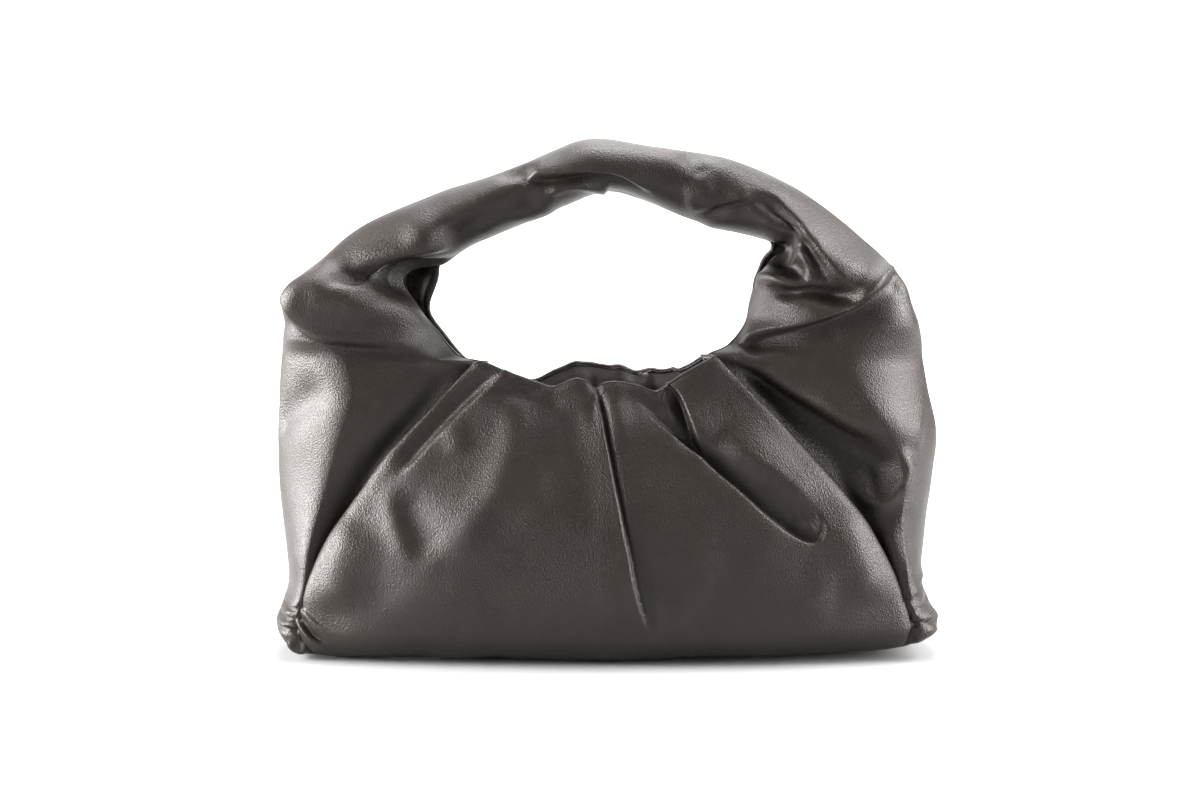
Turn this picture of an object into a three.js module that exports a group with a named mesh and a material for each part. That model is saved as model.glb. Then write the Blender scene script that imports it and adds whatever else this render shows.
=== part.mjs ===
// A soft leather shoulder bag: a bulging front and back panel gathered along the mouth, a flat base, and one
// continuous band that rises as the left side, becomes the scrunched handle and comes down as the right side.
// Millimetres, +Z up, +X to the right of someone looking at the front, +Y towards the back. The origin is the
// middle of the base on the surface that the bag rests on.
import * as THREE from 'three';

// Driving dimensions.
const WALL = 1.6; // leather thickness
const SEAM_GAP = 0.2; // each piece stops this far short of a sewn seam
const BASE_GAP = 0.6; // the base stops this far inside the lower edges
const SEAM_INSET = 10; // the side seam lies this far inside the panel's folded edge
const SEAM_DEPTH = 12; // and this far behind it
const LIP = 0.6; // small roll at the folded edge before it turns back
const BOTTOM_LEVEL = -0.16; // level where a panel meets the base; level 0 is the lower corner, 1 the mouth
const BODY_STEPS = 18; // rows of facets from the base to the mouth
const HANDLE_STEPS = 44; // rows of facets from one end of the mouth over the handle to the other
const BAND_COLUMNS = 16; // facets round the band, from its front edge to its back edge
const FRONT_COLUMNS = 34; // facets across a panel between its folded edges
const BACK_COLUMNS = 20;
const FOLDED_EDGE = 0.9; // the folded edge starts at this share of the way from a panel's middle to its seam
const EDGE_STOPS = [0.925, 0.95, 0.975, 1]; // facets round the folded edge
const SIDE_BULGE = 0.85; // the sides' bulge: below 1 the band's outside is fuller than an ellipse
const BOTTOM_CROWDING = 1.25; // above 1 the rows of facets lie closer together near the base
const STAGGER_FROM = 0.3; // the back edge stands off from this share of the way round the band
const LEAST_STEP = 4; // least distance along the band from one section to the next
const BAND_SKIP = 2; // the base's outline leaves out this many of the band's points next to a seam
const PANEL_PROBE = [0.004, 0.004]; // parameter steps for a panel's outward direction
const BAND_PROBE = [1, 0.01]; // and for the band's
const LEATHER = { color: 0x413b38, roughness: 0.45, metalness: 0 };

// One row for each level of a panel: its left and right edge seen from the front, the edge's depth, the
// height and depth of its middle, and how much of the folded edge's full turn it makes there.
const PANEL_LEVELS = [
  { up: -0.16, leftX: -170, leftZ: 0, rightX: 170, rightZ: 0, edgeY: -34, midZ: 0, midY: -38, lip: 0.35 },
  { up: -0.06, leftX: -183, leftZ: 3, rightX: 184, rightZ: 4, edgeY: -43, midZ: 0, midY: -60, lip: 0.6 },
  { up: 0.0, leftX: -187, leftZ: 10, rightX: 189, rightZ: 12, edgeY: -47, midZ: 5, midY: -68, lip: 0.85 },
  { up: 0.08, leftX: -190, leftZ: 24, rightX: 191, rightZ: 26, edgeY: -50, midZ: 18, midY: -73, lip: 1 },
  { up: 0.28, leftX: -183, leftZ: 57, rightX: 179, rightZ: 58, edgeY: -52, midZ: 52, midY: -77, lip: 1 },
  { up: 0.5, leftX: -163, leftZ: 95, rightX: 156, rightZ: 96, edgeY: -51, midZ: 90, midY: -74, lip: 1 },
  { up: 0.7, leftX: -137, leftZ: 130, rightX: 130, rightZ: 128, edgeY: -48, midZ: 125, midY: -64, lip: 0.95 },
  { up: 0.88, leftX: -106, leftZ: 164, rightX: 99, rightZ: 159, edgeY: -43, midZ: 157, midY: -50, lip: 0.8 },
  { up: 1.0, leftX: -84, leftZ: 186, rightX: 68, rightZ: 191, edgeY: -39, midZ: 174, midY: -37, lip: 0.65 },
];
const EDGE_RISE = 1.6; // how late a panel's height swings from its middle's to its edge's
const RIM_FROM = 0.8; // the gathers of the mouth start at this level

// From a panel's middle to its side seam: the share of the half width and of the change in depth reached,
// then how far the leather has turned in and back round the folded edge.
const PANEL_CROSSING = [
  { out: 0, width: 0, depth: 0, inward: 0, back: 0 },
  { out: 0.25, width: 0.29, depth: 0.05, inward: 0, back: 0 },
  { out: 0.5, width: 0.58, depth: 0.2, inward: 0, back: 0 },
  { out: 0.68, width: 0.78, depth: 0.43, inward: 0, back: 0 },
  { out: 0.8, width: 0.9, depth: 0.67, inward: 0, back: 0 },
  { out: 0.88, width: 0.97, depth: 0.87, inward: 0, back: 0 },
  { out: 0.92, width: 1, depth: 1, inward: LIP, back: LIP },
  { out: 0.955, width: 1, depth: 1, inward: LIP, back: SEAM_DEPTH * 0.42 },
  { out: 0.98, width: 1, depth: 1, inward: SEAM_INSET * 0.5, back: SEAM_DEPTH * 0.8 },
  { out: 1, width: 1, depth: 1, inward: SEAM_INSET, back: SEAM_DEPTH },
];

// The gathered rim of the mouth: its height at places along it, dipping where a pleat is folded under. The
// back rim stands a little higher in the middle.
const FRONT_RIM = [
  { x: -84, z: 187 },
  { x: -78, z: 187 },
  { x: -69, z: 180 },
  { x: -60, z: 180 },
  { x: -36, z: 172 },
  { x: -20, z: 177 },
  { x: -8, z: 171.5 },
  { x: 5, z: 176 },
  { x: 20, z: 174 },
  { x: 32, z: 170 },
  { x: 42, z: 177 },
  { x: 68, z: 191.5 },
];
const BACK_RIM = [
  { x: -84, z: 187 },
  { x: -72, z: 177 },
  { x: -50, z: 168 },
  { x: -28, z: 176 },
  { x: -12, z: 180 },
  { x: 8, z: 177 },
  { x: 34, z: 174 },
  { x: 54, z: 184 },
  { x: 68, z: 191.5 },
];

// The band's outer line at each side below the mouth, by the level of the seam that it is sewn to. The seam
// gives its inner edge; fullness is its half depth over the seam's, and turn is where it is deepest, as a
// share of the way from the seam out.
const SIDE_LEVELS = [
  { up: -0.16, leftX: -186, leftZ: 0, rightX: 186, rightZ: 0, fullness: 1.03, turn: 0.4 },
  { up: -0.06, leftX: -203, leftZ: 4, rightX: 198, rightZ: 5, fullness: 1.04, turn: 0.45 },
  { up: 0.0, leftX: -211, leftZ: 14, rightX: 211, rightZ: 18, fullness: 1.06, turn: 0.45 },
  { up: 0.08, leftX: -208.5, leftZ: 29, rightX: 206, rightZ: 31, fullness: 1.08, turn: 0.5 },
  { up: 0.18, leftX: -203.5, leftZ: 46, rightX: 200.5, rightZ: 47, fullness: 1.08, turn: 0.53 },
  { up: 0.35, leftX: -205.5, leftZ: 75, rightX: 203, rightZ: 75, fullness: 1.1, turn: 0.56 },
  { up: 0.55, leftX: -208.7, leftZ: 110, rightX: 207.3, rightZ: 109, fullness: 1.12, turn: 0.58 },
  { up: 0.72, leftX: -210.3, leftZ: 140, rightX: 209.3, rightZ: 138, fullness: 1.14, turn: 0.58 },
  { up: 0.88, leftX: -208, leftZ: 170, rightX: 204.5, rightZ: 168, fullness: 1.16, turn: 0.55 },
  { up: 1.0, leftX: -205.5, leftZ: 192, rightX: 201.7, rightZ: 189, fullness: 1.18, turn: 0.51 },
];

// The band above the mouth, from the left end over the handle to the right end: its inner and outer line seen
// from the front, its half depth, the depth of its free edges, where it is deepest, how far the back edge
// stands off the front one, and its bulge.
const HANDLE_SECTIONS = [
  { inX: -92, inZ: 190, outX: -204.6, outZ: 200, half: 36, edge: 23, turn: 0.5, stagger: 0, bulge: 0.85 },
  { inX: -107, inZ: 206, outX: -203.2, outZ: 210, half: 37, edge: 15, turn: 0.52, stagger: 4, bulge: 0.7 },
  { inX: -118, inZ: 220, outX: -202, outZ: 222, half: 38, edge: 14, turn: 0.52, stagger: 8, bulge: 0.6 },
  { inX: -127, inZ: 236, outX: -194, outZ: 236, half: 36, edge: 12, turn: 0.46, stagger: 22, bulge: 0.65 },
  { inX: -120, inZ: 244, outX: -180, outZ: 250, half: 34, edge: 6, turn: 0.44, stagger: 16, bulge: 0.8 },
  { inX: -104, inZ: 246, outX: -160, outZ: 266, half: 32, edge: 1.5, turn: 0.46, stagger: 0, bulge: 0.85 },
  { inX: -91, inZ: 255, outX: -134, outZ: 280, half: 30, edge: 1, turn: 0.5, stagger: 0, bulge: 0.85 },
  { inX: -80, inZ: 261, outX: -106, outZ: 293, half: 29, edge: 1, turn: 0.5, stagger: 0, bulge: 0.85 },
  { inX: -47, inZ: 274, outX: -64, outZ: 306, half: 28, edge: 1, turn: 0.5, stagger: 0, bulge: 0.85 },
  { inX: -26, inZ: 283, outX: -34, outZ: 318, half: 28, edge: 1, turn: 0.5, stagger: 0, bulge: 0.85 },
  { inX: -1, inZ: 292, outX: -9, outZ: 326, half: 28, edge: 1, turn: 0.5, stagger: 0, bulge: 0.85 },
  { inX: 21, inZ: 288, outX: 28, outZ: 322, half: 28, edge: 1, turn: 0.5, stagger: 0, bulge: 0.85 },
  { inX: 58, inZ: 274, outX: 74, outZ: 314, half: 28, edge: 1, turn: 0.5, stagger: 0, bulge: 0.85 },
  { inX: 81, inZ: 267, outX: 104, outZ: 303, half: 29, edge: 1, turn: 0.5, stagger: 0, bulge: 0.85 },
  { inX: 100, inZ: 262, outX: 127, outZ: 290, half: 31, edge: 1.5, turn: 0.48, stagger: 0, bulge: 0.85 },
  { inX: 112, inZ: 257, outX: 147, outZ: 275, half: 33, edge: 6, turn: 0.42, stagger: -12, bulge: 0.85 },
  { inX: 104, inZ: 251, outX: 163, outZ: 261, half: 35, edge: 12, turn: 0.42, stagger: -8, bulge: 0.8 },
  { inX: 97, inZ: 244, outX: 177, outZ: 248, half: 36, edge: 14, turn: 0.44, stagger: -3, bulge: 0.75 },
  { inX: 92, inZ: 235, outX: 187.5, outZ: 235, half: 37, edge: 15, turn: 0.46, stagger: 0, bulge: 0.7 },
  { inX: 89, inZ: 224, outX: 192.5, outZ: 222, half: 37, edge: 15, turn: 0.48, stagger: 0, bulge: 0.7 },
  { inX: 86, inZ: 210, outX: 198, outZ: 210, half: 37, edge: 15, turn: 0.5, stagger: 0, bulge: 0.75 },
  { inX: 75, inZ: 197, outX: 201, outZ: 199, half: 36, edge: 23, turn: 0.5, stagger: 0, bulge: 0.85 },
];

// Folds, drawn as lines over the bag seen from the front, x then z. lift says how far the leather stands out,
// or sinks where it is below 0, and reach how wide: first to the right of the line's direction, then to its
// left. soft is half the width of the step between the two, and fade the share of the line over which each
// end dies away.
const FRONT_FOLDS = [
  { name: 'left pleat', line: [[-67, 182], [-104, 150], [-139, 113]],
    lift: [-4.5, 3], reach: [7, 12], soft: 4, fade: [0, 0.25] },
  { name: 'left hollow', line: [[-132, 108], [-106, 57]],
    lift: [-3, -3], reach: [13, 13], soft: 3, fade: [0.4, 0.3] },
  { name: 'left ridge', line: [[-106, 57], [-67, 108], [-42, 152]],
    lift: [2.5, 2.5], reach: [15, 15], soft: 3, fade: [0.1, 0.5] },
  { name: 'middle pleat', line: [[-7, 174], [2, 131], [12, 77], [28, 11]],
    lift: [5, -7], reach: [22, 11], soft: 6, fade: [0, 0.3] },
  { name: 'right pleat', line: [[33, 175], [43, 168], [53, 148], [59, 135]],
    lift: [-8, 5], reach: [12, 18], soft: 6, fade: [0.05, 0.2] },
  { name: 'right groove', line: [[53, 135], [89, 110], [136, 80]],
    lift: [2.5, -8], reach: [16, 13], soft: 7, fade: [0.05, 0.2] },
  { name: 'groove lip', line: [[60, 140], [95, 122], [140, 87]],
    lift: [3, 3], reach: [9, 10], soft: 2, fade: [0.1, 0.25] },
  { name: 'belly ridge', line: [[30, 14], [52, 45], [77, 86]],
    lift: [2.5, 2.5], reach: [14, 14], soft: 3, fade: [0.2, 0.6] },
];
const BACK_FOLDS = [
  { name: 'left pleat', line: [[-52, 180], [-86, 144], [-122, 100]],
    lift: [-5, 3], reach: [9, 14], soft: 5, fade: [0, 0.3] },
  { name: 'middle pleat', line: [[6, 175], [0, 130], [-12, 74], [-26, 20]],
    lift: [-6, 6], reach: [12, 20], soft: 6, fade: [0, 0.4] },
  { name: 'right pleat', line: [[40, 180], [78, 146], [120, 100]],
    lift: [3, -6], reach: [16, 12], soft: 6, fade: [0, 0.3] },
  { name: 'belly hollow', line: [[60, 110], [90, 60]],
    lift: [-3, -3], reach: [16, 16], soft: 3, fade: [0.3, 0.4] },
];
const BAND_FRONT_FOLDS = [
  { name: 'left shoulder lobe', line: [[-194, 232], [-172, 231], [-152, 227], [-127, 221], [-112, 215]],
    lift: [7, 7], reach: [9, 8], soft: 2, fade: [0, 0.1] },
  { name: 'under the left lobe', line: [[-200, 215], [-190, 206], [-164, 198], [-136, 196]],
    lift: [-7, -7], reach: [8, 14], soft: 2, fade: [0, 0.35] },
  { name: 'left pocket', line: [[-168, 240], [-138, 233], [-128, 230]],
    lift: [-9, -9], reach: [7, 9], soft: 2, fade: [0.15, 0.1] },
  { name: 'left handle crease', line: [[-166, 246], [-135, 249], [-118, 254], [-90, 258]],
    lift: [-4, 4], reach: [10, 12], soft: 6, fade: [0.05, 0.2] },
  { name: 'left seam hollow', line: [[-89, 181], [-130, 141], [-158, 106], [-177, 68], [-188, 43]],
    lift: [-4, -4], reach: [12, 12], soft: 2, fade: [0, 0.1] },
  { name: 'handle top crease', line: [[-48, 300], [-4, 302], [20, 294], [45, 283]],
    lift: [-4, 3], reach: [10, 12], soft: 6, fade: [0.1, 0.2] },
  { name: 'right handle ridge', line: [[48, 284], [68, 286], [91, 292]],
    lift: [-3, 4], reach: [10, 11], soft: 6, fade: [0.2, 0] },
  { name: 'right shoulder facet', line: [[90, 292], [107, 284], [124, 265], [140, 241], [152, 233]],
    lift: [-6, 4], reach: [11, 14], soft: 6, fade: [0.1, 0.1] },
  { name: 'right throat fold', line: [[116, 268], [121, 242], [118, 235], [104, 238], [92, 236]],
    lift: [5, 5], reach: [7, 7], soft: 2, fade: [0.1, 0] },
  { name: 'right shoulder ridge', line: [[144, 218], [165, 233], [178, 246]],
    lift: [6, 6], reach: [8, 8], soft: 2, fade: [0.1, 0] },
  { name: 'under the right shoulder', line: [[81, 193], [104, 202], [134, 211], [188, 226]],
    lift: [-6, -6], reach: [14, 7], soft: 2, fade: [0.1, 0] },
  { name: 'right side groove', line: [[82, 182], [135, 146], [181, 116]],
    lift: [-7, -7], reach: [10, 10], soft: 2, fade: [0, 0.1] },
  { name: 'right side bulge', line: [[86, 190], [139, 160], [180, 135]],
    lift: [3.5, 3.5], reach: [8, 14], soft: 2, fade: [0.1, 0.1] },
];
const BAND_BACK_FOLDS = [
  { name: 'left shoulder ridge', line: [[-190, 240], [-160, 228], [-124, 218]],
    lift: [6, 6], reach: [10, 9], soft: 2, fade: [0, 0.2] },
  { name: 'under the left shoulder', line: [[-198, 222], [-170, 206], [-128, 200]],
    lift: [-6, -6], reach: [10, 10], soft: 2, fade: [0, 0.3] },
  { name: 'left side groove', line: [[-92, 178], [-136, 146], [-176, 122]],
    lift: [-6, -6], reach: [11, 11], soft: 2, fade: [0, 0.2] },
  { name: 'handle crease', line: [[-70, 282], [-20, 300], [30, 298], [84, 282]],
    lift: [-4, 3], reach: [10, 12], soft: 6, fade: [0.2, 0.2] },
  { name: 'right shoulder ridge', line: [[108, 220], [146, 230], [184, 240]],
    lift: [6, 6], reach: [10, 9], soft: 2, fade: [0.2, 0] },
  { name: 'under the right shoulder', line: [[100, 200], [140, 206], [194, 220]],
    lift: [-6, -6], reach: [10, 10], soft: 2, fade: [0.2, 0] },
  { name: 'right side groove', line: [[80, 180], [128, 140], [172, 104]],
    lift: [-5, -5], reach: [11, 11], soft: 2, fade: [0, 0.2] },
];
const FOLD_STEPS = 24; // short straight stretches along a fold's line
const FOLDS_END = 0.9; // folds die away from here to a seam
const SPINE = [0.06, 0.3]; // the front and back folds of the band fade out between these shares of its girth

// The 0 to 1 ramp with level ends between two values.
const ramp = (low, high, value) => THREE.MathUtils.smoothstep(value, low, high);

// A smooth curve through the rows of a table: every column is a cubic between rows, whose slope at a row is
// that between the row's two neighbours.
class SectionTable {
  constructor(rows, key) {
    this.rows = rows;
    this.keys = rows.map((row) => row[key]);
    this.columns = Object.keys(rows[0]).filter((column) => column !== key);
  }

  slope(index, column) {
    const before = Math.max(index - 1, 0);
    const after = Math.min(index + 1, this.rows.length - 1);
    return (this.rows[after][column] - this.rows[before][column]) / (this.keys[after] - this.keys[before]);
  }

  at(place) {
    const last = this.keys.length - 1;
    const key = THREE.MathUtils.clamp(place, this.keys[0], this.keys[last]);
    const next = this.keys.findIndex((value, index) => index > 0 && value >= key);
    const start = next - 1;
    const span = this.keys[next] - this.keys[start];
    const t = (key - this.keys[start]) / span;
    const row = {};
    for (const column of this.columns) {
      const from = this.rows[start][column] * (1 + 2 * t) * (1 - t) ** 2;
      const leaving = this.slope(start, column) * span * t * (1 - t) ** 2;
      const to = this.rows[next][column] * t * t * (3 - 2 * t);
      const arriving = this.slope(next, column) * span * t * t * (t - 1);
      row[column] = from + leaving + to + arriving;
    }
    return row;
  }
}

// The height of one fold over the front view: two half bells, one on each side of a smooth line.
class Fold {
  constructor({ line, lift, reach, soft, fade }) {
    Object.assign(this, { lift, reach, soft, fade });
    const curve = new THREE.SplineCurve(line.map(([x, z]) => new THREE.Vector2(x, z)));
    this.path = curve.getSpacedPoints(FOLD_STEPS);
  }

  heightAt(x, z) {
    const place = new THREE.Vector2(x, z);
    let nearest = { distance: Infinity };
    for (let step = 0; step < FOLD_STEPS; step += 1) {
      const start = this.path[step];
      const direction = this.path[step + 1].clone().sub(start);
      const offset = place.clone().sub(start);
      const share = THREE.MathUtils.clamp(offset.dot(direction) / direction.lengthSq(), 0, 1);
      const distance = offset.clone().addScaledVector(direction, -share).length();
      if (distance < nearest.distance) {
        const side = Math.sign(direction.cross(offset));
        nearest = { distance, side, along: (step + share) / FOLD_STEPS };
      }
    }
    const { distance, side, along } = nearest;
    const bell = (lift, index) => lift * Math.exp(-((distance / this.reach[index]) ** 2));
    const [right, left] = this.lift.map(bell);
    const height = THREE.MathUtils.lerp(right, left, ramp(-this.soft, this.soft, side * distance));
    const [fadeIn, fadeOut] = this.fade;
    return height * (fadeIn ? ramp(0, fadeIn, along) : 1) * (fadeOut ? ramp(0, fadeOut, 1 - along) : 1);
  }
}

const panelLevels = new SectionTable(PANEL_LEVELS, 'up');
const panelCrossing = new SectionTable(PANEL_CROSSING, 'out');
const frontRim = new SectionTable(FRONT_RIM, 'x');
const backRim = new SectionTable(BACK_RIM, 'x');
const sideLevels = new SectionTable(SIDE_LEVELS, 'up');

// A point of an unfolded panel seen from the front: across runs from -1 at the left seam to 1 at the right
// seam, and up from the base to the mouth.
function panelPoint(across, up, rim) {
  const level = panelLevels.at(up);
  const mouth = PANEL_LEVELS.at(-1);
  const crossing = panelCrossing.at(Math.abs(across));
  const onLeft = across < 0;
  const middleX = (level.leftX + level.rightX) / 2;
  const flatX = middleX + ((onLeft ? level.leftX : level.rightX) - middleX) * crossing.width;
  const swing = crossing.width ** EDGE_RISE;
  const plainRim = mouth.midZ + ((onLeft ? mouth.leftZ : mouth.rightZ) - mouth.midZ) * swing;
  const gather = (rim.at(flatX).z - plainRim) * ramp(RIM_FROM, 1, up);
  const z = level.midZ + ((onLeft ? level.leftZ : level.rightZ) - level.midZ) * swing + gather;
  return new THREE.Vector3(
    flatX - Math.sign(across) * crossing.inward * level.lip,
    level.midY + (level.edgeY - level.midY) * crossing.depth + crossing.back * level.lip,
    Math.max(z, 0),
  );
}

const frontPoint = (across, up) => panelPoint(across, up, frontRim);

// The back panel is mirrored through the bag, so across runs from its right seam to its left.
function backPoint(across, up) {
  const point = panelPoint(-across, up, backRim);
  return point.setY(-point.y);
}

const bodyLevels = Array.from({ length: BODY_STEPS + 1 }, (_, step) => (
  BOTTOM_LEVEL + (1 - BOTTOM_LEVEL) * (step / BODY_STEPS) ** BOTTOM_CROWDING
));

// The band's cross-section at one level of a side, from the seam that it is sewn to.
function sideSection(up, across) {
  const level = sideLevels.at(up);
  const seam = frontPoint(across, up);
  const edge = Math.abs(seam.y);
  return {
    inX: seam.x,
    inZ: seam.z,
    outX: across < 0 ? level.leftX : level.rightX,
    outZ: across < 0 ? level.leftZ : level.rightZ,
    half: edge * level.fullness,
    edge,
    turn: level.turn,
    stagger: 0,
    bulge: SIDE_BULGE,
  };
}

// All the band's cross-sections from the left base over the handle to the right base, each with its distance
// along the band.
function bandSections() {
  const left = bodyLevels.map((up) => sideSection(up, -1));
  const right = bodyLevels.map((up) => sideSection(up, 1)).reverse();
  const sections = [...left, ...HANDLE_SECTIONS.map((row) => ({ ...row })), ...right];
  let along = 0;
  sections.forEach((section, index) => {
    section.middle = new THREE.Vector2((section.inX + section.outX) / 2, (section.inZ + section.outZ) / 2);
    if (index > 0) {
      along += Math.max(section.middle.distanceTo(sections[index - 1].middle), LEAST_STEP);
    }
    section.along = along;
  });
  sections.forEach((section) => delete section.middle);
  return sections;
}

const sections = bandSections();
const bandTable = new SectionTable(sections, 'along');

// A point of the unfolded band: along runs over the handle, and round from -1 at the front edge, over 0 at
// the outer line, to 1 at the back edge. The section is an ellipse, fuller outside and flatter inside.
function bandPoint(along, round) {
  const { inX, inZ, outX, outZ, half, edge, turn, stagger, bulge } = bandTable.at(along);
  const wrap = Math.PI - Math.asin(Math.min(edge / half, 1));
  const angle = round * wrap;
  const cosine = Math.cos(angle);
  const sine = Math.sin(angle);
  const outside = turn + (1 - turn) * Math.max(cosine, 0) ** bulge;
  const share = cosine > 0 ? outside : turn * (1 - cosine / Math.cos(wrap));
  const startX = inX + stagger * ramp(STAGGER_FROM, 1, round);
  const x = THREE.MathUtils.lerp(startX, outX, share);
  const z = THREE.MathUtils.lerp(inZ, outZ, share);
  const depth = cosine > 0 ? Math.sign(sine) * Math.abs(sine) ** bulge : sine;
  return new THREE.Vector3(x, half * depth, Math.max(z, 0));
}

// The outward direction of a surface, square to both of its parameters.
function outward(surface, first, second, steps) {
  const [firstStep, secondStep] = steps;
  const alongFirst = surface(first + firstStep, second).sub(surface(first - firstStep, second));
  const alongSecond = surface(first, second + secondStep).sub(surface(first, second - secondStep));
  return alongFirst.cross(alongSecond).normalize();
}

// The same surface with folds raised on it, each list of folds weighted by its own share at that place.
function withFolds(surface, steps, layers) {
  const lists = layers.map(({ rows, share }) => ({ folds: rows.map((row) => new Fold(row)), share }));
  return (first, second) => {
    const point = surface(first, second);
    let height = 0;
    for (const { folds, share } of lists) {
      const weight = share(first, second);
      if (weight > 0) {
        height += weight * folds.reduce((sum, fold) => sum + fold.heightAt(point.x, point.z), 0);
      }
    }
    return point.addScaledVector(outward(surface, first, second, steps), height);
  };
}

const awayFromSeam = (place) => 1 - ramp(FOLDS_END, 1, Math.abs(place));
const front = withFolds(frontPoint, PANEL_PROBE, [{ rows: FRONT_FOLDS, share: awayFromSeam }]);
const back = withFolds(backPoint, PANEL_PROBE, [{ rows: BACK_FOLDS, share: awayFromSeam }]);
const band = withFolds(bandPoint, BAND_PROBE, [
  { rows: BAND_FRONT_FOLDS, share: (along, round) => ramp(...SPINE, -round) * awayFromSeam(round) },
  { rows: BAND_BACK_FOLDS, share: (along, round) => ramp(...SPINE, round) * awayFromSeam(round) },
]);

// A grid of points on a surface, one row for each stop of its first parameter, and the surface's points in
// the middles of the grid's cells.
function surfaceGrid(surface, firstStops, secondStops) {
  const pointsAt = (firsts, seconds) => (
    firsts.map((first) => seconds.map((second) => surface(first, second)))
  );
  const between = (stops) => stops.slice(1).map((stop, index) => (stop + stops[index]) / 2);
  return {
    grid: pointsAt(firstStops, secondStops),
    middles: pointsAt(between(firstStops), between(secondStops)),
  };
}

// Draws an edge back from its seam by the gap, towards the row of points next to it.
function pullBack(edge, inner) {
  edge.forEach((point, index) => {
    const away = inner[index].clone().sub(point).normalize();
    point.addScaledVector(away, SEAM_GAP);
  });
}

// The two skins of a leather wall: the grid is its outside, and the inside lies one thickness behind. Each
// four-sided facet is split along the diagonal that passes nearer to the surface's own point in its middle,
// so that the split follows the folds.
function leatherSkins({ grid, middles }) {
  const columns = grid[0].length;
  const vertex = (row, column) => row * columns + column;
  const points = grid.flat();
  const faces = [];
  for (let row = 0; row + 1 < grid.length; row += 1) {
    for (let column = 0; column + 1 < columns; column += 1) {
      const [a, b] = [vertex(row, column), vertex(row + 1, column)];
      const [c, d] = [vertex(row + 1, column + 1), vertex(row, column + 1)];
      const middle = middles[row][column];
      const miss = (from, to) => points[from].clone().lerp(points[to], 0.5).distanceTo(middle);
      if (miss(a, c) <= miss(b, d)) {
        faces.push([a, b, c], [a, c, d]);
      } else {
        faces.push([a, b, d], [b, c, d]);
      }
    }
  }
  const skin = new THREE.BufferGeometry().setFromPoints(points);
  skin.setIndex(faces.flat());
  skin.computeVertexNormals();
  const normals = skin.getAttribute('normal');
  const inner = grid.map((points, row) => points.map((point, column) => {
    const normal = new THREE.Vector3().fromBufferAttribute(normals, vertex(row, column));
    const behind = point.clone().addScaledVector(normal, -WALL);
    return behind.setZ(Math.max(behind.z, 0));
  }));
  return { outer: grid, inner, faces };
}

// A closed leather wall: both skins, with a rim round their common border.
function leatherWall({ outer, inner, faces }) {
  const rows = outer.length;
  const columns = outer[0].length;
  const count = rows * columns;
  const vertex = (row, column) => row * columns + column;
  const inside = faces.map(([a, b, c]) => [c + count, b + count, a + count]);
  const border = [
    ...Array.from({ length: rows - 1 }, (_, row) => vertex(row, 0)),
    ...Array.from({ length: columns - 1 }, (_, column) => vertex(rows - 1, column)),
    ...Array.from({ length: rows - 1 }, (_, row) => vertex(rows - 1 - row, columns - 1)),
    ...Array.from({ length: columns - 1 }, (_, column) => vertex(0, columns - 1 - column)),
  ];
  const rim = border.flatMap((start, index) => {
    const end = border[(index + 1) % border.length];
    return [[end, start, start + count], [end, start + count, end + count]];
  });
  const wall = new THREE.BufferGeometry().setFromPoints([...outer.flat(), ...inner.flat()]);
  wall.setIndex([...faces, ...inside, ...rim].flat());
  wall.computeVertexNormals();
  return wall;
}

// A stretch of the base's outline: the lower inner edge of one wall, drawn in towards the middle by the gap.
function drawnIn(edge) {
  return edge.map((point, index) => {
    const before = edge[Math.max(index - 1, 0)];
    const after = edge[Math.min(index + 1, edge.length - 1)];
    const travel = new THREE.Vector2(after.x - before.x, after.y - before.y).setLength(BASE_GAP);
    return new THREE.Vector2(point.x - travel.y, point.y + travel.x);
  });
}

// The corner of the base's outline between the ends of two walls that are sewn together there.
function seamCorner(first, second) {
  const x = Math.min(Math.abs(first.x), Math.abs(second.x)) - BASE_GAP;
  const y = Math.min(Math.abs(first.y), Math.abs(second.y)) - BASE_GAP;
  return new THREE.Vector2(Math.sign(first.x) * x, Math.sign(first.y) * y);
}

// The base: a flat plate inside the lower edges of the walls, given in order round the bag.
function basePlate(lowerEdges) {
  const outline = lowerEdges.flatMap(({ edge, skip }, index) => {
    const next = lowerEdges[(index + 1) % lowerEdges.length].edge;
    return [...drawnIn(edge.slice(skip, -skip)), seamCorner(edge.at(-1), next[0])];
  });
  return new THREE.ExtrudeGeometry(new THREE.Shape(outline), { depth: WALL, bevelEnabled: false });
}

const evenly = (low, high, steps) => (
  Array.from({ length: steps + 1 }, (_, step) => low + ((high - low) * step) / steps)
);
const acrossStops = (columns) => [
  ...EDGE_STOPS.map((stop) => -stop).reverse(),
  ...evenly(-FOLDED_EDGE, FOLDED_EDGE, columns),
  ...EDGE_STOPS,
];
const roundStops = evenly(-1, 1, BAND_COLUMNS);
const leftEnd = sections[BODY_STEPS].along;
const rightEnd = sections.at(-1 - BODY_STEPS).along;
const alongStops = [
  ...sections.slice(0, BODY_STEPS).map((section) => section.along),
  ...evenly(leftEnd, rightEnd, HANDLE_STEPS),
  ...sections.slice(-BODY_STEPS).map((section) => section.along),
];

function panelGrid(surface, columns) {
  const { grid, middles } = surfaceGrid(surface, acrossStops(columns), bodyLevels);
  pullBack(grid[0], grid[1]);
  pullBack(grid.at(-1), grid.at(-2));
  return { grid, middles };
}

function bandGrid() {
  const { grid, middles } = surfaceGrid(band, alongStops, roundStops);
  for (const row of grid) {
    pullBack([row[0]], [row[1]]);
    pullBack([row.at(-1)], [row.at(-2)]);
  }
  return { grid, middles };
}

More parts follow.
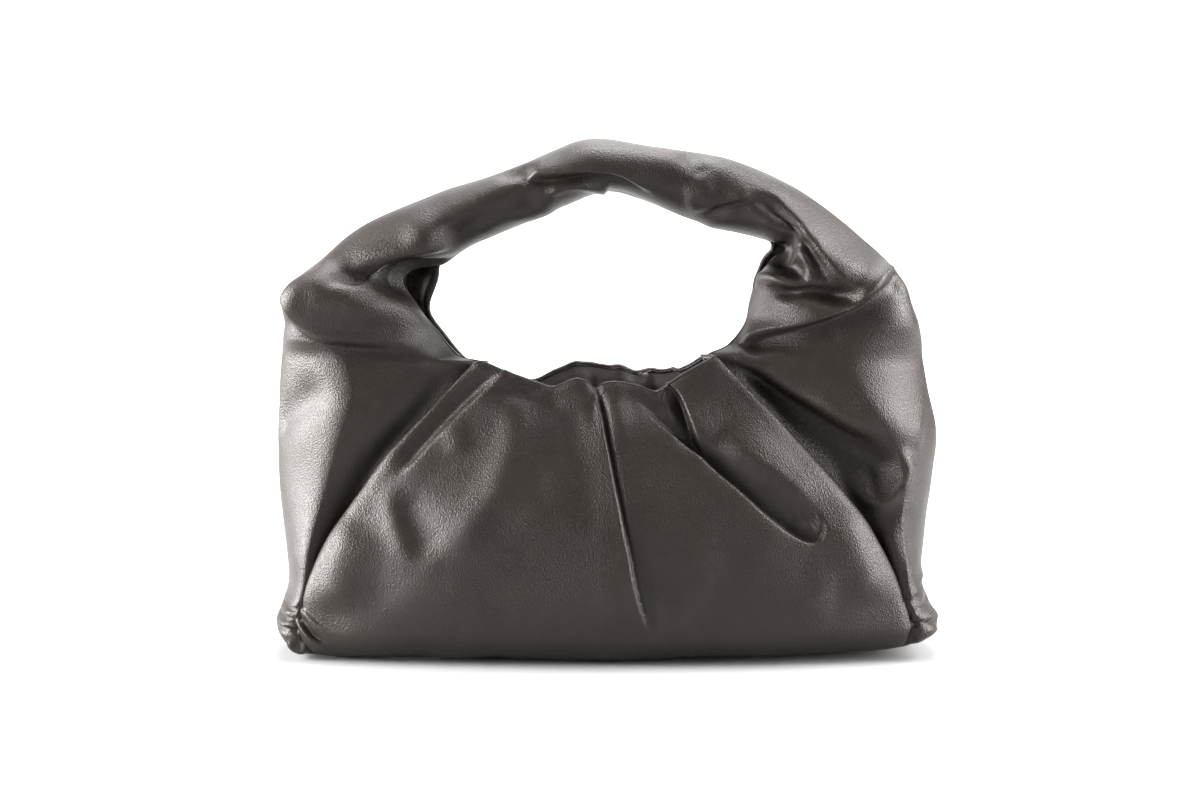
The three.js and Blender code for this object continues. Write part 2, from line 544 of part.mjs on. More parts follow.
const frontSkins = leatherSkins(panelGrid(front, FRONT_COLUMNS));
const backSkins = leatherSkins(panelGrid(back, BACK_COLUMNS));
const bandSkins = leatherSkins(bandGrid());
const lowerEdges = [
  { edge: frontSkins.inner.map((column) => column[0]), skip: EDGE_STOPS.length + 1 },
  { edge: bandSkins.inner.at(-1), skip: BAND_SKIP },
  { edge: backSkins.inner.map((column) => column[0]), skip: EDGE_STOPS.length + 1 },
  { edge: [...bandSkins.inner[0]].reverse(), skip: BAND_SKIP },
];

const bag = new THREE.Group();
const pieces = {
  front_panel: leatherWall(frontSkins),
  back_panel: leatherWall(backSkins),
  base_panel: basePlate(lowerEdges),
  handle_band: leatherWall(bandSkins),
};
for (const [name, geometry] of Object.entries(pieces)) {
  const piece = new THREE.Mesh(geometry, new THREE.MeshStandardMaterial(LEATHER));
  piece.name = name;
  bag.add(piece);
}

export default bag;
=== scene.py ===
"""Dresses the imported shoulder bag: soft dark leather, pleated at the mouth and scrunched along the handle.

Tables are in millimetres in the bag's own frame, x to the right seen from the front, y to the back and z up, and
the meshes are made from them in metres.
"""

import bpy
import numpy as np
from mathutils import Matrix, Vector


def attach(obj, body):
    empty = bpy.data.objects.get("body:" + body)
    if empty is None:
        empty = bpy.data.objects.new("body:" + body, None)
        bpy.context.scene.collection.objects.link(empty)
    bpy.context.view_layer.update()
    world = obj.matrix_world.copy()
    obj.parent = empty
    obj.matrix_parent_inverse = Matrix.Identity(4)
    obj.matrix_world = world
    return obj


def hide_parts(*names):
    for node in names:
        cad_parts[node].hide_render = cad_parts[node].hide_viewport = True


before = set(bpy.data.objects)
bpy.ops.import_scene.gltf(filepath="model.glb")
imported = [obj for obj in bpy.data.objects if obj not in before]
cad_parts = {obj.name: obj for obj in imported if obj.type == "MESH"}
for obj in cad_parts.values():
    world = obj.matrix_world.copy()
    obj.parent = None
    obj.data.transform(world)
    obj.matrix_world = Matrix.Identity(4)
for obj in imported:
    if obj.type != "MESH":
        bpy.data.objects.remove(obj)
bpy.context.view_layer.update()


# Front panel: one wide piece of soft nappa leather. It is gathered in pleats along the mouth, its side edges are
# folded back and sewn to the sides behind the fold, and its lower edge turns under the bag to the base.
WALL = 1.6  # leather thickness
HEM = 3.2  # the mouth's edge is turned in, so it is two layers thick
HEM_DEPTH = 9  # height of the turned edge
PANEL_GRID = (341, 209)  # points across and up
PANEL_REACH = 0.996  # the panel stops this share of the way to its seam
BOTTOM_LEVEL = -0.16  # level 0 is the panel's lower corner, 1 the mouth
SEAM_INSET, SEAM_DEPTH, LIP = 10, 12, 0.6  # the seam lies this far inside and behind the folded edge
RIM_FLARE = 7  # the mouth's edge rolls outwards
GATHERED_FROM, FLARED_FROM = 0.8, 0.86  # levels where the gathers and the roll of the mouth begin
EDGE_RISE = 1.6  # how late a panel's height swings from its middle's to its edge's
FOLDS_END = (0.9, 0.99)  # folds die away between these shares of the way to the seam
PANEL_LEVELS = np.array([
    # level, left x, left z, right x, right z, edge y, middle z, middle y, share of the edge's full turn
    (-0.16, -170, 1, 170, 5, -34, 0, -36, 0.35),
    (-0.06, -183, 5, 184, 9, -43, 1, -52, 0.6),
    (0.00, -190, 12, 189, 16, -47, 6, -65, 0.85),
    (0.08, -193.5, 24, 191, 26, -47, 18, -73, 1.0),
    (0.28, -185, 57, 180, 58, -48, 52, -77, 1.0),
    (0.50, -163, 95, 156, 96, -47, 90, -74, 1.0),
    (0.70, -137, 130, 130, 128, -45.5, 125, -64, 0.95),
    (0.88, -106, 164, 99, 159, -43, 157, -50, 0.8),
    (1.00, -84, 186, 68, 191, -39, 174, -37, 0.65),
])
PANEL_CROSSING = np.array([
    # share of the way to the seam, of the half width and of the depth change, then turned inwards and back
    (0.00, 0.00, 0.00, 0, 0),
    (0.25, 0.29, 0.05, 0, 0),
    (0.50, 0.58, 0.22, 0, 0),
    (0.68, 0.78, 0.48, 0, 0),
    (0.80, 0.90, 0.71, 0, 0),
    (0.88, 0.97, 0.87, 0, 0),
    (0.92, 1.00, 1.00, LIP, LIP),
    (0.955, 1.00, 1.00, LIP, SEAM_DEPTH * 0.42),
    (0.98, 1.00, 1.00, SEAM_INSET * 0.5, SEAM_DEPTH * 0.8),
    (1.00, 1.00, 1.00, SEAM_INSET, SEAM_DEPTH),
])
FRONT_RIM = np.array([
    # along the mouth, height of its edge
    (-84, 187), (-79, 188), (-74, 186.5), (-68, 184), (-63, 182), (-57, 179.5), (-42, 174.5), (-33, 172.5),
    (-22, 177), (-14, 176.5), (-8, 171.5), (-3, 175), (7, 176), (21, 173.5), (31, 170), (38, 174), (52, 183),
    (68, 191.5),
])


def ramp(low, high, value):
    """0 up to low, 1 from high on, and a cubic with level ends between them."""
    share = np.clip((value - low) / (high - low), 0, 1)
    return share * share * (3 - 2 * share)


def curve_through(keys, rows, place):
    """Cubics through the rows of a table: the slope at a row is that between its two neighbours."""
    keys, rows = np.asarray(keys, float), np.asarray(rows, float)
    before, after = np.maximum(np.arange(len(keys)) - 1, 0), np.minimum(np.arange(len(keys)) + 1, len(keys) - 1)
    slope = (rows[after] - rows[before]) / (keys[after] - keys[before])[:, None]
    place = np.clip(place, keys[0], keys[-1])
    start = np.clip(np.searchsorted(keys, place, side="right") - 1, 0, len(keys) - 2)
    span = (keys[start + 1] - keys[start])[..., None]
    t = (place - keys[start])[..., None] / span
    ends = rows[start] * (1 + 2 * t) * (1 - t) ** 2 + rows[start + 1] * t * t * (3 - 2 * t)
    return ends + span * (slope[start] * t * (1 - t) ** 2 + slope[start + 1] * t * t * (t - 1))


def panel_surface(across, up, rim):
    """The unfolded front panel: width and depth swing from the middle to the edges by the crossing table, then the
    edge turns in and back; the mouth's edge follows the rim table, eased in over the top fifth, and rolls out."""
    level = np.moveaxis(curve_through(PANEL_LEVELS[:, 0], PANEL_LEVELS[:, 1:], up), -1, 0)
    left_x, left_z, right_x, right_z, edge_y, middle_z, middle_y, lip = level
    crossing = curve_through(PANEL_CROSSING[:, 0], PANEL_CROSSING[:, 1:], np.abs(across))
    width, depth, inward, back = np.moveaxis(crossing, -1, 0)
    on_left = across < 0
    middle_x = (left_x + right_x) / 2
    flat_x = middle_x + (np.where(on_left, left_x, right_x) - middle_x) * width
    swing = np.maximum(width, 0) ** EDGE_RISE
    top = PANEL_LEVELS[-1]
    plain_rim = top[6] + (np.where(on_left, top[2], top[4]) - top[6]) * swing
    gather = (curve_through(rim[:, 0], rim[:, 1:], flat_x)[..., 0] - plain_rim) * ramp(GATHERED_FROM, 1, up)
    x = flat_x - np.sign(across) * inward * lip
    y = middle_y + (edge_y - middle_y) * depth + back * lip
    y = y - RIM_FLARE * ramp(FLARED_FROM, 1, up) ** 2 * (1 - across ** 6)
    z = middle_z + (np.where(on_left, left_z, right_z) - middle_z) * swing + gather
    return np.stack([x, y, np.maximum(z, 0)], axis=-1)


def fold(name, line, lift, reach, soft=1.5, fade=(0, 0), square=2):
    """One fold over the front view. lift and reach are for the right and the left of the line's direction; a reach
    may be a pair, from the line's start to its end. square above 2 gives a flat floor with steep walls."""
    return {"name": name, "line": line, "lift": lift, "reach": reach, "soft": soft, "fade": fade, "square": square}


def fold_line(points, steps=36):
    """Evenly keyed points of a smooth curve through the given ones."""
    points = np.asarray(points, float)
    keys = np.concatenate([[0], np.cumsum(np.linalg.norm(np.diff(points, axis=0), axis=1))])
    return curve_through(keys, points, np.linspace(0, keys[-1], steps))


def fold_relief(x, z, folds):
    """Height of all the folds: a bell on each side of each line, with a step of the softness between the two."""
    total = np.zeros(x.shape)
    for one in folds:
        path = fold_line(one["line"])
        step = np.diff(path, axis=0)
        length = np.linalg.norm(step, axis=1)
        start = np.concatenate([[0], np.cumsum(length)])
        widest = 3 * max(np.max(reach) for reach in one["reach"])
        low, high = path.min(axis=0) - widest, path.max(axis=0) + widest
        near = (x > low[0]) & (x < high[0]) & (z > low[1]) & (z < high[1])
        px, pz = x[near][:, None] - path[:-1, 0], z[near][:, None] - path[:-1, 1]
        t = np.clip((px * step[:, 0] + pz * step[:, 1]) / length ** 2, 0, 1)
        distance = np.hypot(px - t * step[:, 0], pz - t * step[:, 1])
        row, best = np.arange(len(distance)), np.argmin(distance, axis=1)
        side = np.sign(step[best, 0] * pz[row, best] - step[best, 1] * px[row, best])
        along = (start[best] + t[row, best] * length[best]) / start[-1]
        distance = distance[row, best]
        bells = []
        for lift, reach in zip(one["lift"], one["reach"]):
            reach = np.broadcast_to(np.asarray(reach, float), (2,))
            width = reach[0] + (reach[1] - reach[0]) * along
            bells.append(lift * np.exp(-(distance / width) ** one["square"]))
        height = bells[0] + (bells[1] - bells[0]) * ramp(-one["soft"], one["soft"], side * distance)
        fade_in, fade_out = one["fade"]
        height = height * (ramp(0, fade_in, along) if fade_in else 1)
        total[near] += height * (ramp(0, fade_out, 1 - along) if fade_out else 1)
    return total


def smoothed(height, cells):
    """Heights averaged twice over so many cells each way, so that folds run into one another as soft leather does."""
    for axis in (0, 1, 0, 1):
        padded = np.pad(height, [(cells, cells) if k == axis else (0, 0) for k in (0, 1)], mode="edge")
        count = height.shape[axis]
        height = np.mean([np.take(padded, np.arange(k, k + count), axis=axis) for k in range(2 * cells + 1)], axis=0)
    return height


LATTICE = 24  # the noise repeats after so many bumps


def soft_noise(place, size, seed):
    """Smooth noise from -1 to 1 in bumps of the given size: random values on a cubic lattice, eased between."""
    values = np.random.default_rng(seed).uniform(-1, 1, (LATTICE, LATTICE, LATTICE))
    cell = place / size
    corner = np.floor(cell).astype(int)
    share = ramp(0, 1, cell - corner)
    total = np.zeros(place.shape[:-1])
    for offset in np.ndindex(2, 2, 2):
        weight = np.prod(np.where(offset, share, 1 - share), axis=-1)
        at = (corner + offset) % LATTICE
        total += weight * values[at[..., 0], at[..., 1], at[..., 2]]
    return total


WANDER, WANDER_WIDTH = 1.0, 26  # how far a fold strays, and over what length


def wandering(place, seed):
    """The front view's x and z, shifted by smooth noise so that no fold runs as if ruled."""
    x = place[..., 0] + WANDER * soft_noise(place, WANDER_WIDTH, seed)
    z = place[..., 2] + WANDER * soft_noise(place, WANDER_WIDTH, seed + 1)
    return x, z


CRISP = 1.3  # folds with less softness than this stay sharp


def folded(place, seed, folds):
    """Height of the folds over a surface: the soft ones run into their neighbours, the crisp ones stay."""
    x, z = wandering(place, seed)
    soft = fold_relief(x, z, [one for one in folds if one["soft"] >= CRISP])
    return smoothed(soft, 1) + fold_relief(x, z, [one for one in folds if one["soft"] < CRISP])


SLOUCH, SLOUCH_WIDTH = (1.2, 1.8, 1.0), 48  # most to the right, back and up, and the width of the bumps
STANDING = (4, 40)  # the sag grows between these heights


def slouched(place):
    """The bag's soft sag: every point is shifted by smooth noise of its own place, so that seams stay together, and
    less and less towards the base that it stands on."""
    shift = [most * soft_noise(place, SLOUCH_WIDTH, 70 + axis) for axis, most in enumerate(SLOUCH)]
    return place + np.stack(shift, axis=-1) * ramp(*STANDING, place[..., 2:])


SLACK = ((52, 1.2), (24, 0.7), (10, 0.12))  # width and height of the leather's uneven places


def slack(place, seed):
    """The leather's own unevenness: the sum of wide soft hollows, finer ones in them, and finer ones again."""
    return sum(height * soft_noise(place, width, seed + layer) for layer, (width, height) in enumerate(SLACK))


def outward(surface):
    """Unit normals of a grid of points, square to both of its directions."""
    normal = np.cross(np.gradient(surface, axis=0), np.gradient(surface, axis=1))
    return normal / np.maximum(np.linalg.norm(normal, axis=-1, keepdims=True), 1e-9)


def eroded(height, cells):
    """Least height within so many cells each way, so that an inner skin stays behind every hollow."""
    for axis in (0, 1):
        padded = np.pad(height, [(cells, cells) if k == axis else (0, 0) for k in (0, 1)], mode="edge")
        count = height.shape[axis]
        height = np.min([np.take(padded, np.arange(k, k + count), axis=axis) for k in range(2 * cells + 1)], axis=0)
    return height


RIM_STOPS = np.radians((40, 80, 120, 150))  # points round a wall's half-round rim
WEAR_AND_SHADE_CELLS, WEAR_AND_SHADE_HEIGHT = 4, 4  # a ridge is worn paler, and a hollow darkened with painted shade, where it stands this much above or below its surroundings


def wall_piece(name, surface, normal, height, thickness):
    """A closed leather wall: the folded grid outside, an inner skin with half as many points each way, and a
    half-round rim between their borders. Heights and thickness are along the unfolded surface's normals."""
    rows, columns = height.shape
    outer = surface + normal * height[..., None]
    inner = surface + normal * (eroded(height, 2) - thickness)[..., None]
    outer[..., 2], inner[..., 2] = np.maximum(outer[..., 2], 0), np.maximum(inner[..., 2], 0)
    index = np.arange(rows * columns).reshape(rows, columns)
    def border(grid):
        return np.concatenate([grid[:-1, 0], grid[-1, :-1], grid[:0:-1, -1], grid[0, :0:-1]])
    def cells(grid):
        return np.stack([grid[:-1, :-1], grid[1:, :-1], grid[1:, 1:], grid[:-1, 1:]], axis=-1).reshape(-1, 4)
    edge, back = border(outer), border(inner)
    beside = outer.copy()
    beside[0], beside[-1], beside[:, 0], beside[:, -1] = outer[1], outer[-2], outer[:, 1], outer[:, -2]
    away = edge - border(beside)
    away = away / np.maximum(np.linalg.norm(away, axis=1, keepdims=True), 1e-9)
    middle, half = (edge + back) / 2, (edge - back) / 2
    round_out = away * np.linalg.norm(half, axis=1, keepdims=True)
    rings = [middle + half * np.cos(a) + round_out * np.sin(a) for a in RIM_STOPS]
    for ring in rings:
        ring[:, 2] = np.maximum(ring[:, 2], 0)
    count, loop = rows * columns, len(edge)
    few = inner[::2, ::2]
    inside = (np.arange(few.shape[0] * few.shape[1]) + count + loop * len(rings)).reshape(few.shape[:2])
    loops = [border(index)] + [count + loop * k + np.arange(loop) for k in range(len(rings))]
    strips = [np.stack([a, b, np.roll(b, -1), np.roll(a, -1)], axis=1) for a, b in zip(loops, loops[1:])]
    last, inside_loop = loops[-1], border(inside)
    corner = np.stack([last[::2], inside_loop, np.roll(inside_loop, -1), np.roll(last, -1)[1::2], last[1::2]], axis=1)
    faces = [face for grid in (cells(index)[:, ::-1], np.concatenate(strips), corner, cells(inside))
             for face in grid.tolist()]
    points = np.concatenate([outer.reshape(-1, 3), *rings, few.reshape(-1, 3)])
    mesh = bpy.data.meshes.new(name)
    mesh.from_pydata((points / 1000).tolist(), [], faces)
    mesh.polygons.foreach_set("use_smooth", np.ones(len(mesh.polygons), bool))
    # Painted shade and wear: how far each point stands below or above its broad surroundings, kept for the colour,
    # which darkens the hollows as painted shade and pales the ridges as wear.
    broad = height
    for _ in range(2):
        broad = (eroded(broad, WEAR_AND_SHADE_CELLS) - eroded(-broad, WEAR_AND_SHADE_CELLS)) / 2
    ridge_wear_and_hollow_shade = np.zeros(len(points))
    ridge_wear_and_hollow_shade[:count] = np.clip((height - broad) / WEAR_AND_SHADE_HEIGHT, -1, 1).reshape(-1)
    mesh.attributes.new("ridge_wear_and_hollow_shade", "FLOAT", "POINT").data.foreach_set("value", ridge_wear_and_hollow_shade)
    behind = np.arange(len(points)) >= inside[0, 0]
    mesh.attributes.new("inside", "FLOAT", "POINT").data.foreach_set("value", behind)
    mesh.update()
    piece = bpy.data.objects.new(name, mesh)
    bpy.context.scene.collection.objects.link(piece)
    return piece


LEATHER_PAINTED_SHADE = (0.0085, 0.0059, 0.0047, 1)  # painted shade in the hollows
LEATHER = (0.0125, 0.0088, 0.0071, 1)
LEATHER_WORN = (0.018, 0.0132, 0.0109, 1)  # along the ridges
SUEDE_AND_PAINTED_LIGHT = (0.240, 0.212, 0.200, 1)  # the unlined inner side: a suede tone, made much paler as painted light for the bag's shaded inside
DRESSING = (1, 0.955, 0.935, 1)  # warm tint of the finish's shine
SHINE = 0.37  # strength of the finish's shine
GLOSS = (0.33, 0.44)  # roughness, least and most
PATCHES, PEBBLES, PORES, CREASES = 28, 1000, 1700, 780  # how many fit in a metre
WEAR_AND_SHADE_SHARE = 0.4  # ridge wear and painted hollow shade against patches in the colour
PORE_SHARE = 0.5  # pores against pebbles in the grain
GRAIN_BUMP = (0.56, 0.0005)  # strength and depth in metres
CREASE_BUMP = (0.22, 0.0003)


def leather():
    """Dark nappa with a fine grain: a brown-grey in soft patches, with painted shade darker in the hollows and wear
    paler on the ridges, suede on the inner side made paler as painted light, and a bump of pores on pebbles of about a
    millimetre, laid over fine creases that also vary the gloss."""
    material = bpy.data.materials.new("espresso_nappa")
    material.use_nodes = True
    nodes, links = material.node_tree.nodes, material.node_tree.links
    shader = nodes["Principled BSDF"]
    place = nodes.new("ShaderNodeTexCoord")
    def texture(kind, **sockets):
        node = nodes.new(kind)
        links.new(place.outputs["Object"], node.inputs["Vector"])
        for socket, value in sockets.items():
            node.inputs[socket].default_value = value
        return node
    patches = texture("ShaderNodeTexNoise", Scale=PATCHES, Detail=3)
    pebbles = texture("ShaderNodeTexVoronoi", Scale=PEBBLES)
    pores = texture("ShaderNodeTexNoise", Scale=PORES, Detail=2)
    creases = texture("ShaderNodeTexNoise", Scale=CREASES, Detail=4, Roughness=0.6)
    # The hollows get painted shade and the ridges wear, from each point's height over its surroundings.
    ridge_wear_and_hollow_shade = nodes.new("ShaderNodeAttribute")
    ridge_wear_and_hollow_shade.attribute_name = "ridge_wear_and_hollow_shade"
    shade = nodes.new("ShaderNodeValToRGB")
    shade.color_ramp.elements[0].color = LEATHER_PAINTED_SHADE
    shade.color_ramp.elements[1].color = LEATHER_WORN
    shade.color_ramp.elements.new(0.5).color = LEATHER
    uneven = nodes.new("ShaderNodeMath")
    uneven.operation = "MULTIPLY_ADD"
    uneven.inputs[1].default_value = WEAR_AND_SHADE_SHARE
    links.new(ridge_wear_and_hollow_shade.outputs["Fac"], uneven.inputs[0])
    links.new(patches.outputs["Fac"], uneven.inputs[2])
    links.new(uneven.outputs["Value"], shade.inputs["Fac"])
    # The inner skin takes the pale suede colour: partly the leather's own suede side, partly painted light for the
    # shaded inside.
    behind = nodes.new("ShaderNodeAttribute")
    behind.attribute_name = "inside"
    lined = nodes.new("ShaderNodeMix")
    lined.data_type = "RGBA"
    lined.inputs["B"].default_value = SUEDE_AND_PAINTED_LIGHT
    links.new(behind.outputs["Fac"], lined.inputs["Factor"])
    links.new(shade.outputs["Color"], lined.inputs["A"])
    links.new(lined.outputs["Result"], shader.inputs["Base Color"])
    gloss = nodes.new("ShaderNodeMapRange")
    gloss.inputs["To Min"].default_value, gloss.inputs["To Max"].default_value = GLOSS
    links.new(creases.outputs["Fac"], gloss.inputs["Value"])
    links.new(gloss.outputs["Result"], shader.inputs["Roughness"])
    grain = nodes.new("ShaderNodeMath")
    grain.operation = "MULTIPLY_ADD"
    grain.inputs[1].default_value = PORE_SHARE
    links.new(pores.outputs["Fac"], grain.inputs[0])
    links.new(pebbles.outputs["Distance"], grain.inputs[2])
    fine = nodes.new("ShaderNodeBump")
    fine.inputs["Strength"].default_value, fine.inputs["Distance"].default_value = GRAIN_BUMP
    links.new(grain.outputs["Value"], fine.inputs["Height"])
    broad = nodes.new("ShaderNodeBump")
    broad.inputs["Strength"].default_value, broad.inputs["Distance"].default_value = CREASE_BUMP
    links.new(creases.outputs["Fac"], broad.inputs["Height"])
    links.new(broad.outputs["Normal"], fine.inputs["Normal"])
    links.new(fine.outputs["Normal"], shader.inputs["Normal"])
    shader.inputs["Specular IOR Level"].default_value = SHINE
    shader.inputs["Specular Tint"].default_value = DRESSING
    return material


FRONT_CALM = (0.9, 0.7)  # from this level on, the mouth's turned edge takes away this share of the folds
FRONT_FOLDS = [
    fold("left pleat", [(-67, 181), (-79, 169), (-95, 154), (-109, 140), (-122, 127), (-133, 117)],
         (-4, 0.6), (12, 14), 2.8, (0, 0.2)),
    fold("long left ridge", [(-58, 171), (-57, 151), (-60, 131), (-69, 110), (-86, 86), (-103, 60)],
         (3, 3), (12, 12), 2.5, (0.1, 0.3)),
    fold("left swelling", [(-98, 154), (-94, 142), (-91, 128)], (2, 2), (8, 8), 2, (0.4, 0.4)),
    fold("third hump", [(-53, 170), (-43, 171), (-32, 173), (-22, 177)], (1.5, -2), (6, 5), 1.5, (0.4, 0)),
    fold("knife pleat", [(-8, 174), (-4, 157), (-2, 145), (2, 126), (6, 107), (11, 82), (18, 51), (26, 20)],
         (2.5, -3), (24, 2.8), 1.1, (0, 0.15)),
    fold("shade of the knife pleat", [(9, 100), (15, 74), (24, 40), (31, 14)], (0, -2.5), (3, 9), 2, (0.5, 0.2)),
    fold("fall to the knife pleat", [(-22, 168), (-18, 142), (-12, 112), (-4, 80)],
         (-2.5, -2.5), (12, 16), 3, (0.15, 0.4)),
    fold("beside the knife pleat", [(4, 176), (7, 150), (12, 128)], (2, 2), (8, 8), 2, (0, 0.6)),
    fold("right pleat", [(35, 174), (40, 173), (45, 166), (49, 155), (54, 142), (59, 133)],
         (-5.5, 3.5), (7, 18), 1.1, (0.05, 0.25)),
    fold("right hollow", [(56, 136), (73, 127), (89, 117), (104, 106), (117, 95), (128, 86)],
         (-3, -3), ((6, 10), (6, 9)), 2, (0.2, 0.15)),
    fold("lower edge of the hollow", [(14, 168), (31, 152), (46, 140), (59, 130), (76, 115), (101, 94), (117, 82),
                                      (126, 78), (132, 79), (135, 85), (133, 93), (126, 102)],
         (1.5, -7), (10, (6, 8)), 1.2, (0.35, 0.3)),
    fold("upper ridge of the hollow", [(66, 142), (84, 135), (103, 125), (120, 111), (135, 95)],
         (3.5, 3), (11, 13), 2.5, (0.25, 0.3)),
    fold("belly ridge", [(30, 19), (51, 50), (76, 90)], (3, 3), (13, 13), 3, (0.2, 0.6)),
    fold("right swelling", [(120, 20), (132, 46), (140, 74)], (2, 2), (11, 11), 3, (0.4, 0.4)),
    fold("left valley", [(-134, 112), (-130, 106), (-120, 84), (-109, 63)], (-3, -3), (9, 14), 2.5, (0.3, 0.3)),
    fold("left leg", [(-136, 116), (-133, 98), (-126, 78), (-117, 58)], (2.4, 2.4), (8, 9), 2.5, (0.3, 0.4)),
    fold("left rounding", [(-156, 92), (-163, 72), (-169, 50), (-171, 30)], (4, 4), (11, 14), 3, (0.3, 0.3)),
    fold("right rounding", [(140, 98), (152, 76), (162, 54), (168, 32)], (5, 5), (15, 11), 3, (0.3, 0.3)),
    fold("left corner tuck", [(-191, 24), (-184, 16), (-171, 10)], (2.2, -2.2), (3.5, 4.5), 1, (0, 0.7)),
    fold("left corner crease", [(-190, 33), (-180, 25), (-166, 18)], (0.6, -1), (4, 5), 1.2, (0, 0.8)),
]

across, up = np.meshgrid(np.linspace(-PANEL_REACH, PANEL_REACH, PANEL_GRID[0]),
                         np.linspace(BOTTOM_LEVEL, 1, PANEL_GRID[1]), indexing="ij")
front = slouched(panel_surface(across, up, FRONT_RIM))
relief = folded(front, 3, FRONT_FOLDS) * (1 - FRONT_CALM[1] * ramp(FRONT_CALM[0], 1, up)) + slack(front, 11)
relief = relief * (1 - ramp(*FOLDS_END, np.abs(across)))
rim_height = curve_through(FRONT_RIM[:, 0], FRONT_RIM[:, 1:], front[..., 0])[..., 0]
hem = WALL + (HEM - WALL) * ramp(HEM_DEPTH + 1, HEM_DEPTH, rim_height - front[..., 2])
nappa = leather()
front_panel = wall_piece("front_leather", front, outward(front), relief, hem)
front_panel.data.materials.append(nappa)
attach(front_panel, "root")
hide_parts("front_panel")


# Back panel: the same piece of leather behind, with its own pleats, and sewn in the same way. In the middle its
# mouth edge stands a little higher, so that it shows over the front edge.
BACK_RIM = np.array([
    # along the mouth, height of its edge
    (-84, 181), (-76, 176), (-70, 171), (-56, 168), (-46, 168), (-33, 174), (-26, 177), (-13, 180), (-4, 179),
    (8, 177), (21, 175), (34, 174), (42, 175), (54, 179), (63, 184), (68, 185.5),
])
BACK_DROP = 6  # its corners hang this much lower than the front's
BACK_CALM = (0.88, 0.5)  # as the front's
BACK_FOLDS = [
    fold("left pleat", [(-52, 178), (-70, 158), (-92, 136), (-122, 100)], (-5, 3), (9, 14), 1.5, (0, 0.3)),
    fold("middle pleat", [(-10, 180), (-9, 158), (-6, 120), (2, 70), (8, 24)], (-6, 3), (8, 20), 1.4, (0.15, 0.35)),
    fold("right pleat", [(44, 178), (60, 164), (82, 142), (120, 100)], (3, -6), (16, 10), 1.4, (0, 0.3)),
    fold("right hump", [(24, 176), (30, 150), (40, 118)], (2.5, 2.5), (9, 9), 2, (0, 0.5)),
    fold("left hump", [(-34, 174), (-38, 150), (-48, 116)], (2.5, 2.5), (9, 9), 2, (0, 0.5)),
    fold("right hollow", [(66, 150), (90, 124), (112, 92)], (-4, -4), ((5, 9), (5, 9)), 2, (0.2, 0), 3),
    fold("left hollow", [(-70, 128), (-92, 96), (-104, 62)], (-4, -4), (10, 10), 2, (0.3, 0.4)),
    fold("right rise", [(60, 110), (84, 84), (104, 50)], (3, 3), (13, 13), 3, (0.3, 0.4)),
    fold("first gather", [(8, 180), (10, 168), (12, 154)], (5, 5), (4.5, 4.5), 1.5, (0, 0.5)),
    fold("second gather", [(20, 178), (20, 166), (20, 152)], (-5, -5), (4.5, 4.5), 1.5, (0, 0.5)),
    fold("third gather", [(30, 177), (31, 166), (33, 152)], (4, 4), (4.5, 4.5), 1.5, (0, 0.5)),
    fold("fourth gather", [(-22, 181), (-20, 168), (-18, 152)], (5, 5), (5, 5), 1.5, (0, 0.5)),
]
BACK_WAY = np.array([1, -1, 1])  # the back is the front mirrored through the bag
plain_back = slouched(panel_surface(-across, up, BACK_RIM) * BACK_WAY)
relief = folded(plain_back, 23, BACK_FOLDS) * (1 - BACK_CALM[1] * ramp(BACK_CALM[0], 1, up))
relief = relief + slack(plain_back, 31)
relief = relief * (1 - ramp(*FOLDS_END, np.abs(across)))
back_panel = wall_piece("back_leather", plain_back, outward(plain_back), relief, hem)
back_panel.data.materials.append(nappa)
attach(back_panel, "root")
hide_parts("back_panel")


# Handle band: one long piece of the same leather. It rises from the base as the left side, folds over at the
# shoulder, is scrunched into a tube with its edges sewn together underneath, and comes down as the right side.
SIDE_GRID, HANDLE_GRID = 105, 351  # points up each side and along the handle
ROUND_GRID = (81, 49)  # points round the band's front and its back
SIDE_ROWS, SIDE_CROWDING = 30, 1.25  # sections up each side, closer together at the bottom
LEAST_STRIDE = 4  # between two sections
EVEN_SHARE, CROWDED_SHARE = 0.55, 0.45  # the points up a side crowd towards the gathered corners
BAND_REACH = 0.994  # the band stops this share of the way to its edges' seam
STAGGER_FROM = 0.3  # from here to the back edge, the edge runs over to its own line
SPINE = (0.04, 0.2)  # the front's and the back's folds begin between these shares of the way from the outer line
BAND_FOLDS_END = (0.92, 1)  # and die away between these
TURNED_EDGE, TURNED_HEIGHT = (0.9, 0.93), (150, 190)  # where the edges are turned in, over the sides and the handle
BAND_SLACK = 0.7  # the scrunched band is a little tauter than the panels
SIDE_LEVELS = np.array([
    # level, left x, left z, right x, right z, half depth over the seam's, where deepest left and right, roundness
    (-0.16, -186, 1, 186, 5, 1.03, 0.40, 0.40, 0.90),
    (-0.06, -202, 6, 198, 10, 1.14, 0.44, 0.44, 0.80),
    (0.00, -210.5, 18, 211, 20, 1.24, 0.46, 0.44, 0.80),
    (0.08, -207, 31, 206, 32, 1.32, 0.48, 0.48, 0.90),
    (0.18, -202.5, 46, 200.5, 47, 1.32, 0.48, 0.54, 1.10),
    (0.35, -205, 75, 203, 75, 1.24, 0.46, 0.60, 1.35),
    (0.55, -208.7, 110, 207.3, 109, 1.14, 0.46, 0.68, 1.40),
    (0.72, -210.3, 140, 209.3, 138, 1.16, 0.50, 0.67, 1.40),
    (0.88, -208, 170, 204.5, 168, 1.18, 0.55, 0.63, 1.35),
    (1.00, -205.5, 192, 201.7, 189, 1.18, 0.68, 0.62, 1.20),
])
